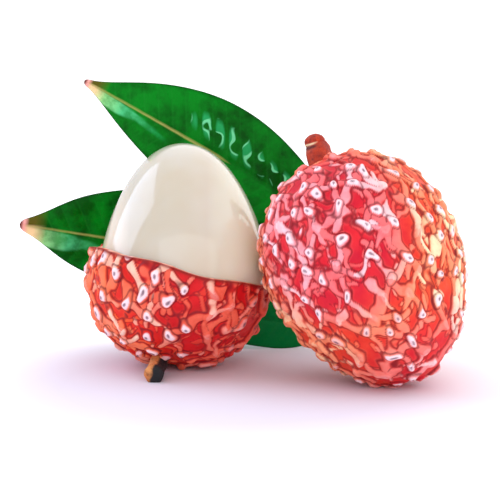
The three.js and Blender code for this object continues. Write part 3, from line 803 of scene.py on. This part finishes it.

# %% [markdown]
# ## Lychee rind
# The rind is thin, dry and brittle, like stiff leather. The whole fruit is crimson between its ridges on
# the sides that the sun reached and orange red on the others. That lighter orange red on its edges and
# right side is also painted light. The cup is a deeper red, painted brighter on its left side as painted
# light. The ridges are salmon, pink or cream, and each bead has a nearly white tip with a grey dot; crests
# are painted paler and tips whiter on the lit side, as painted light. A dark line of painted shade follows
# every foot and seam, and a dark ring of painted shade lies round each bead. It reflects light softly, at
# a roughness of about 0.5, and a little sheen stands for the fine roughness that brightens its edges.

# %% Lychee rind material
def rind_material(name, hues, lining=False):
    """Colours laid over each other by the marks of the relief: the valleys with their flanks and streaks,
    the crests of the ridges, the feet and the beads' rims in painted shade, the beads' tips, and the dots.
    Each hue is a pair. The second is for the sides that the tint mark names, which is partly painted light.
    A crest's tone is a draw, moved up by painted light on the lit side, and bead tips are painted whiter
    there."""
    material, tree, shader = fresh_material(name)
    # Each hue's second colour goes where the tint mark is high. On the whole fruit that is a ripening
    # crimson, and the lighter orange red elsewhere is partly painted light. On the cup it is painted light,
    # brighter on its lit left side.
    hue = {key: layered(tree, first, ("sun_tint_and_painted_light", 0, 1, 1, second)) for key, (first, second) in hues.items()}
    thread = layered(tree, hue["flank"], ("shade", 0.3, 0.7, 1, hue["salmon"]),
                     ("shade", 0.8, 0.9, 1, hue["pale"]))
    clear = strength(tree, "shade", 0, 1, 0.7, 1)
    ground = layered(tree, hue["valley"], (speckle(tree, 3.5, 3.0), 0.35, 0.65, 1, hue["deep"]),
                     ("flank", 0, 1, 0.35, hue["flank"]), (("streak", clear), 0, 1, 1, thread))
    # Painted light: on the lit side crests are painted paler and bead tips whiter, and both fade away from
    # it.
    sun_tint_and_painted_light, shown = reading(tree, "sun_tint_and_painted_light"), reading(tree, "painted_light_side")
    if not lining:
        shown = add(tree, "Math", {"operation": "MAXIMUM"}, {0: sun_tint_and_painted_light, 1: shown}).outputs[0]
    tone = add(tree, "Math", {"operation": "ADD"},
               {0: reading(tree, "tone"), 1: strength(tree, shown, 0.3, 1, -0.3, 0.04)}).outputs[0]
    creamy = add(tree, "Math", {"operation": "ADD"},
                 {0: tone, 1: strength(tree, "painted_light_side", 0, 1, -0.1, 0.14)}).outputs[0]
    crest = layered(tree, hue["salmon"], (tone, 0.44, 0.62, 1, hue["pale"]),
                    (creamy, 0.76, 0.86, 1, hue["cream"]))
    broken = strength(tree, speckle(tree, 1.6, 3.0, 0.6), 0.3, 0.62, 0.72, 1)
    tip = ("bead", strength(tree, shown, 0, 0.5, 0.3, 1))
    # Painted shade: dark red along the feet and seams and round each bead.
    colour = layered(tree, ground, (("ridge", broken), 0, 1, 1, crest), ("foot", 0.2, 1, 0.85, "780618"),
                     ("rim", 0.2, 1, 0.8, "6A081C"), (tip, 0.1, 0.9, 0.94, "FFE4EC"),
                     ("dot", 0.1, 1, 0.85, "6A4A5C"))
    if lining:
        # Painted shade: a dark line along the outside of the torn edge.
        colour = layered(tree, colour, (("edge", broken), 0, 1, 1, "8A1A14"),
                         ("lining", 0, 1, 1, "F6CDB4"))
    grain = speckle(tree, 0.45, 3.0, 0.6)
    bump = add(tree, "Bump", inputs={"Strength": 0.2, "Distance": 0.0002, "Height": grain})
    fill(tree, shader, {"Base Color": colour, "Roughness": strength(tree, broken, 0.72, 1, 0.42, 0.58),
                        "Normal": bump.outputs[0], "IOR": 1.45, "Specular IOR Level": 0.25,
                        "Sheen Weight": 0.7, "Sheen Roughness": 0.35, "Sheen Tint": "F04E2A",
                        "Subsurface Weight": 0.08, "Subsurface Scale": 0.0015,
                        "Subsurface Radius": (1.0, 0.3, 0.2)})
    return material


RIPE = {"valley": ("F44E2C", "E62230"), "deep": ("E4301E", "D01030"), "flank": ("FA8254", "F45A5C"),
        "salmon": ("FB946A", "F8757A"), "pale": ("FFCA9E", "FFA0AA"), "cream": ("FFE8BC", "FFD0DA")}
DEEP = {"valley": ("DC141C", "F0301E"), "deep": ("C20A16", "E02018"), "flank": ("E23E2E", "F86632"),
        "salmon": ("F0664E", "F97E54"), "pale": ("FA9484", "FFAC92"), "cream": ("FFC4AC", "FFD8BE")}
whole_rind.data.materials.append(rind_material("lychee_rind_ripe", RIPE))
cup.data.materials.append(rind_material("lychee_rind_deep", DEEP, lining=True))
print("hues of the rind:", *RIPE)

# %% [markdown]
# ## Wet aril
# The flesh is a clear jelly with light scattered inside, under a film of juice. Subsurface scattering
# gives the soft milky body, and a coat gives the sharp wet highlight. Juice has an IOR of 1.33; the coat
# has 1.5, which makes the highlight as clear as the real one. The pulp is painted a little greener and
# brighter on the right, and lighter and yellower at the left edge. This is painted light, where the flesh
# would otherwise look darker.

# %% Wet aril material
aril_material, tree, shader = fresh_material("lychee_aril_wet")
place = add(tree, "TexCoord").outputs["Object"]
rightwards = add(tree, "SeparateXYZ", inputs={0: place}).outputs[0]
# Painted light: the pulp is painted brighter on the right and lighter at the left edge.
pulp = layered(tree, "D2CABC", (speckle(tree, 9.0), 0.35, 0.65, 1, "CEC2AE"),
               (rightwards, -0.004, 0.006, 1, "F0FFE6"), (rightwards, -0.016, -0.021, 1, "FFEAD2"))
fill(tree, shader, {"Base Color": pulp, "Subsurface Weight": 0.45, "Subsurface Scale": 0.004,
                    "Subsurface Radius": (1.0, 0.75, 0.55), "Roughness": 0.22, "IOR": 1.38,
                    "Coat Weight": 1.0, "Coat Roughness": 0.04, "Coat IOR": 1.5})
aril.data.materials.append(aril_material)
print(aril_material.name, "has", len(tree.nodes), "nodes")

# %% [markdown]
# ## Waxy leaf
# The leaf's upper side is deep green under a waxy cuticle, which shines a little. The midrib and side
# veins are paler, the underside is matt and grey green, and the tip has dried to pink and cream. The
# patches of shine are painted highlights in lighter and mint greens. Marks lay them in the quilting
# between the veins and in a lobe below the midrib. The leaf that lies low in shade is painted a lighter
# teal green, a shaded copy of the colour.

# %% Waxy leaf material
leaf_material, tree, shader = fresh_material("waxy_leaf_cuticle")
patch = strength(tree, speckle(tree, 5.0, 4.0, 0.6), 0.36, 0.62)
# Painted highlight: the shine mark and the glint noise lay patches of lighter green with pale mint rims.
glint = speckle(tree, 2.5, 0.0)
filled = reading(tree, ("shine", strength(tree, glint, 0.36, 0.42)))
brink = (filled, strength(tree, glint, 0.5, 0.44))
streaky = strength(tree, speckle(tree, 2.2, 3.0, 0.6), 0.36, 0.58, 0.45, 1)
# Painted highlight in pale mint greens on the lobe below the midrib.
painted_gloss = layered(tree, "1E9E50", ("along", 0.7, 0.84, 1, "50C884"), ("along", 0.84, 0.92, 1, "A0E494"))
dry = layered(tree, "F2CE9A", ("across", -0.25, 0.25, 1, "5A5414"), ("along", 0.972, 0.985, 1, "EFA49C"))
# Painted shade: the leaf that lies in shade gets a lighter teal green of its own.
green = layered(tree, "004E08", (patch, 0, 1, 1, "01821A"), ("shaded", 0, 1, 1, "047A3A"),
                ("vein", 0, 1, 0.35, "1C8A2C"), (filled, 0.15, 0.45, 0.8, "2AB066"),
                (brink, 0.15, 0.45, 0.85, "7CE8AC"), (("lobe", streaky), 0, 1, 1, painted_gloss),
                ("along", 0.915, 0.955, 1, dry), ("midrib", 0.25, 0.75, 0.85, "BCB866"),
                ("along", 0.988, 0.996, 1, "6E2A28"))
under = layered(tree, "2E7034", (patch, 0, 1, 1, "3E8044"))
colour = layered(tree, under, ("upper", 0, 1, 1, green), ("margin", 0.3, 1, 0.7, "022E06"),
                 ("stalk", 0.3, 0.9, 1, "7A8A3C"))
fine = speckle(tree, 0.8, 3.0, 0.6)
bump = add(tree, "Bump", inputs={"Strength": 0.2, "Distance": 0.0003, "Height": fine})
fill(tree, shader, {"Base Color": colour, "Normal": bump.outputs[0], "IOR": 1.45,
                    "Specular IOR Level": 0.07,
                    "Roughness": strength(tree, speckle(tree, 2.0, 3.0), 0.3, 0.7, 0.22, 0.38)})
for leaf in leaves:
    leaf.data.materials.append(leaf_material)
print(leaf_material.name, "has", len(tree.nodes), "nodes")

# %% [markdown]
# ## Bark
# Young lychee bark is thin and dull, reddish on the bunch's stalk and weathered to tan on the stub, whose
# shaded side is painted near black as painted shade. Where the twig broke off, a ring of bare wood shows
# cream over a dark scar.

# %% Bark material
def bark_material(name, light, dark, shade):
    """Bark from light to dark in streaks, darker in small spots, and the stalks' marks over it."""
    material, tree, shader = fresh_material(name)
    # The stub's near-black side is painted shade.
    colour = layered(tree, light, (speckle(tree, 1.6, 4.0, 0.65), 0.35, 0.65, 1, dark),
                     (speckle(tree, 0.5, 2.0), 0.55, 0.7, 0.6, shade), ("bare", 0.1, 0.9, 0.6, "D8806A"),
                     ("scar", 0.1, 0.9, 0.95, "340606"), ("pale", 0.2, 0.9, 1, "F4DCB4"),
                     ("painted_shade", 0, 1, 1, "0E0D13"))
    grain = speckle(tree, 0.6, 4.0, 0.7)
    bump = add(tree, "Bump", inputs={"Strength": 0.5, "Distance": 0.0004, "Height": grain})
    fill(tree, shader, {"Base Color": colour, "Normal": bump.outputs[0], "Roughness": 0.72})
    return material


red_bark = bark_material("bark_reddish", "CC3A06", "941A02", "4A0A04")
for piece in (stalk, spur):
    piece.data.materials.append(red_bark)
stub.data.materials.append(bark_material("bark_weathered", "ECA462", "CE783C", "7A3A1C"))
print("bark on", stalk.name, spur.name, stub.name)

# %% [markdown]
# ## Floor, light and camera
# The fruit lies on white studio paper that fills the view. Near the fruit the paper is painted a little
# darker and lilac, as painted shade. Away from it, it is painted white and glows a little, as painted
# light, so that it turns pure white there, as in a lit studio sweep. The sky lights from all round,
# brightest from above and behind. A wide lamp in front fills the shade, and a square one on the left
# gives the flesh its window-like highlight.

# %% Floor
HALF_FLOOR, UNDER_FRUIT = 40.0, (0.0, -0.014, 0.0)
corners = [(-HALF_FLOOR, -HALF_FLOOR, 0), (HALF_FLOOR, -HALF_FLOOR, 0), (HALF_FLOOR, HALF_FLOOR, 0),
           (-HALF_FLOOR, HALF_FLOOR, 0)]
floor_mesh = bpy.data.meshes.new("studio_floor")
floor_mesh.from_pydata(corners, [], [(0, 1, 2, 3)])
floor = bpy.data.objects.new("studio_floor", floor_mesh)
bpy.context.scene.collection.objects.link(floor)
floor_material, tree, shader = fresh_material("matt_studio_paper")
ground = add(tree, "TexCoord").outputs["Object"]
away = add(tree, "VectorMath", {"operation": "DISTANCE"}, {0: ground, 1: UNDER_FRUIT}).outputs["Value"]
# Painted shade and light: lilac near the fruit, white and glowing away from it.
fill(tree, shader, {"Base Color": layered(tree, "ECE7F3", (away, 0.03, 0.065, 1, "FFFFFF")),
                    "Emission Color": layered(tree, "000000", (away, 0.026, 0.06, 1, "FFFFFF")),
                    "Emission Strength": 0.32, "Roughness": 0.9, "Specular IOR Level": 0.1})
floor_mesh.materials.append(floor_material)
print("floor", 2 * HALF_FLOOR, "m wide")

# %% Light
world = bpy.data.worlds.new("studio")
world.use_nodes = True
sky = world.node_tree
direction = add(sky, "TexCoord").outputs["Generated"]
glow = Vector((0.5, 0.55, 0.67)).normalized()
towards = add(sky, "VectorMath", {"operation": "DOT_PRODUCT"}, {0: direction, 1: glow}).outputs["Value"]
fill(sky, sky.nodes["Background"], {"Strength": strength(sky, towards, 0, 1, 0.4, 1.6),
                                    "Color": (0.985, 0.98, 1.0, 1.0)})
bpy.context.scene.world = world


def soft_light(name, place_mm, aim_mm, width_mm, height_mm, power, colour="FFFFFF"):
    """A rectangular light at a place, facing another place."""
    lamp = bpy.data.lights.new(name, "AREA")
    lamp.shape, lamp.size, lamp.size_y = "RECTANGLE", width_mm * MM, height_mm * MM
    lamp.energy, lamp.color = power, linear(colour)[:3]
    made = bpy.data.objects.new(name, lamp)
    made.location = Vector(place_mm) * MM
    made.rotation_euler = (Vector(aim_mm) - Vector(place_mm)).to_track_quat("-Z", "Y").to_euler()
    bpy.context.scene.collection.objects.link(made)
    print(name, power, "W")


soft_light("left_window", (-270, 60, 190), (-13, -3, 25), 240, 260, 0.55, "CFE0FF")
soft_light("front_fill", (40, -420, 190), (0, 0, 15), 700, 400, 1.0)

# %% [markdown]
# The camera stands 300 mm away and 8 degrees above the table. Its lens follows from the scale of the
# picture: one of its 500 pixels is 0.1535 mm wide on a plane 5 mm nearer than the aim.

# %% Camera
ELEVATION = np.radians(8.0)
DISTANCE, TARGET = 300.0, np.array([0.0, 0.0, 19.4])
SENSOR, PIXEL, PIXELS, NEARER = 36.0, 0.1535, 500, 5.0
into = np.array([0, np.cos(ELEVATION), -np.sin(ELEVATION)])
camera_data = bpy.data.cameras.new("camera")
camera_data.sensor_width = SENSOR
camera_data.lens = SENSOR * (DISTANCE - NEARER * np.cos(ELEVATION)) / PIXEL / PIXELS
camera_data.clip_start, camera_data.clip_end = 0.01, 200.0
camera = bpy.data.objects.new("camera", camera_data)
camera.location = Vector((TARGET - SHIFT - DISTANCE * into) * MM)
camera.rotation_euler = Vector(into).to_track_quat("-Z", "Y").to_euler()
bpy.context.scene.collection.objects.link(camera)
bpy.context.scene.camera = camera
bpy.context.scene.view_settings.view_transform = "Standard"
print("lens", round(camera_data.lens, 1), "mm")

# %% Finish
bpy.context.view_layer.update()
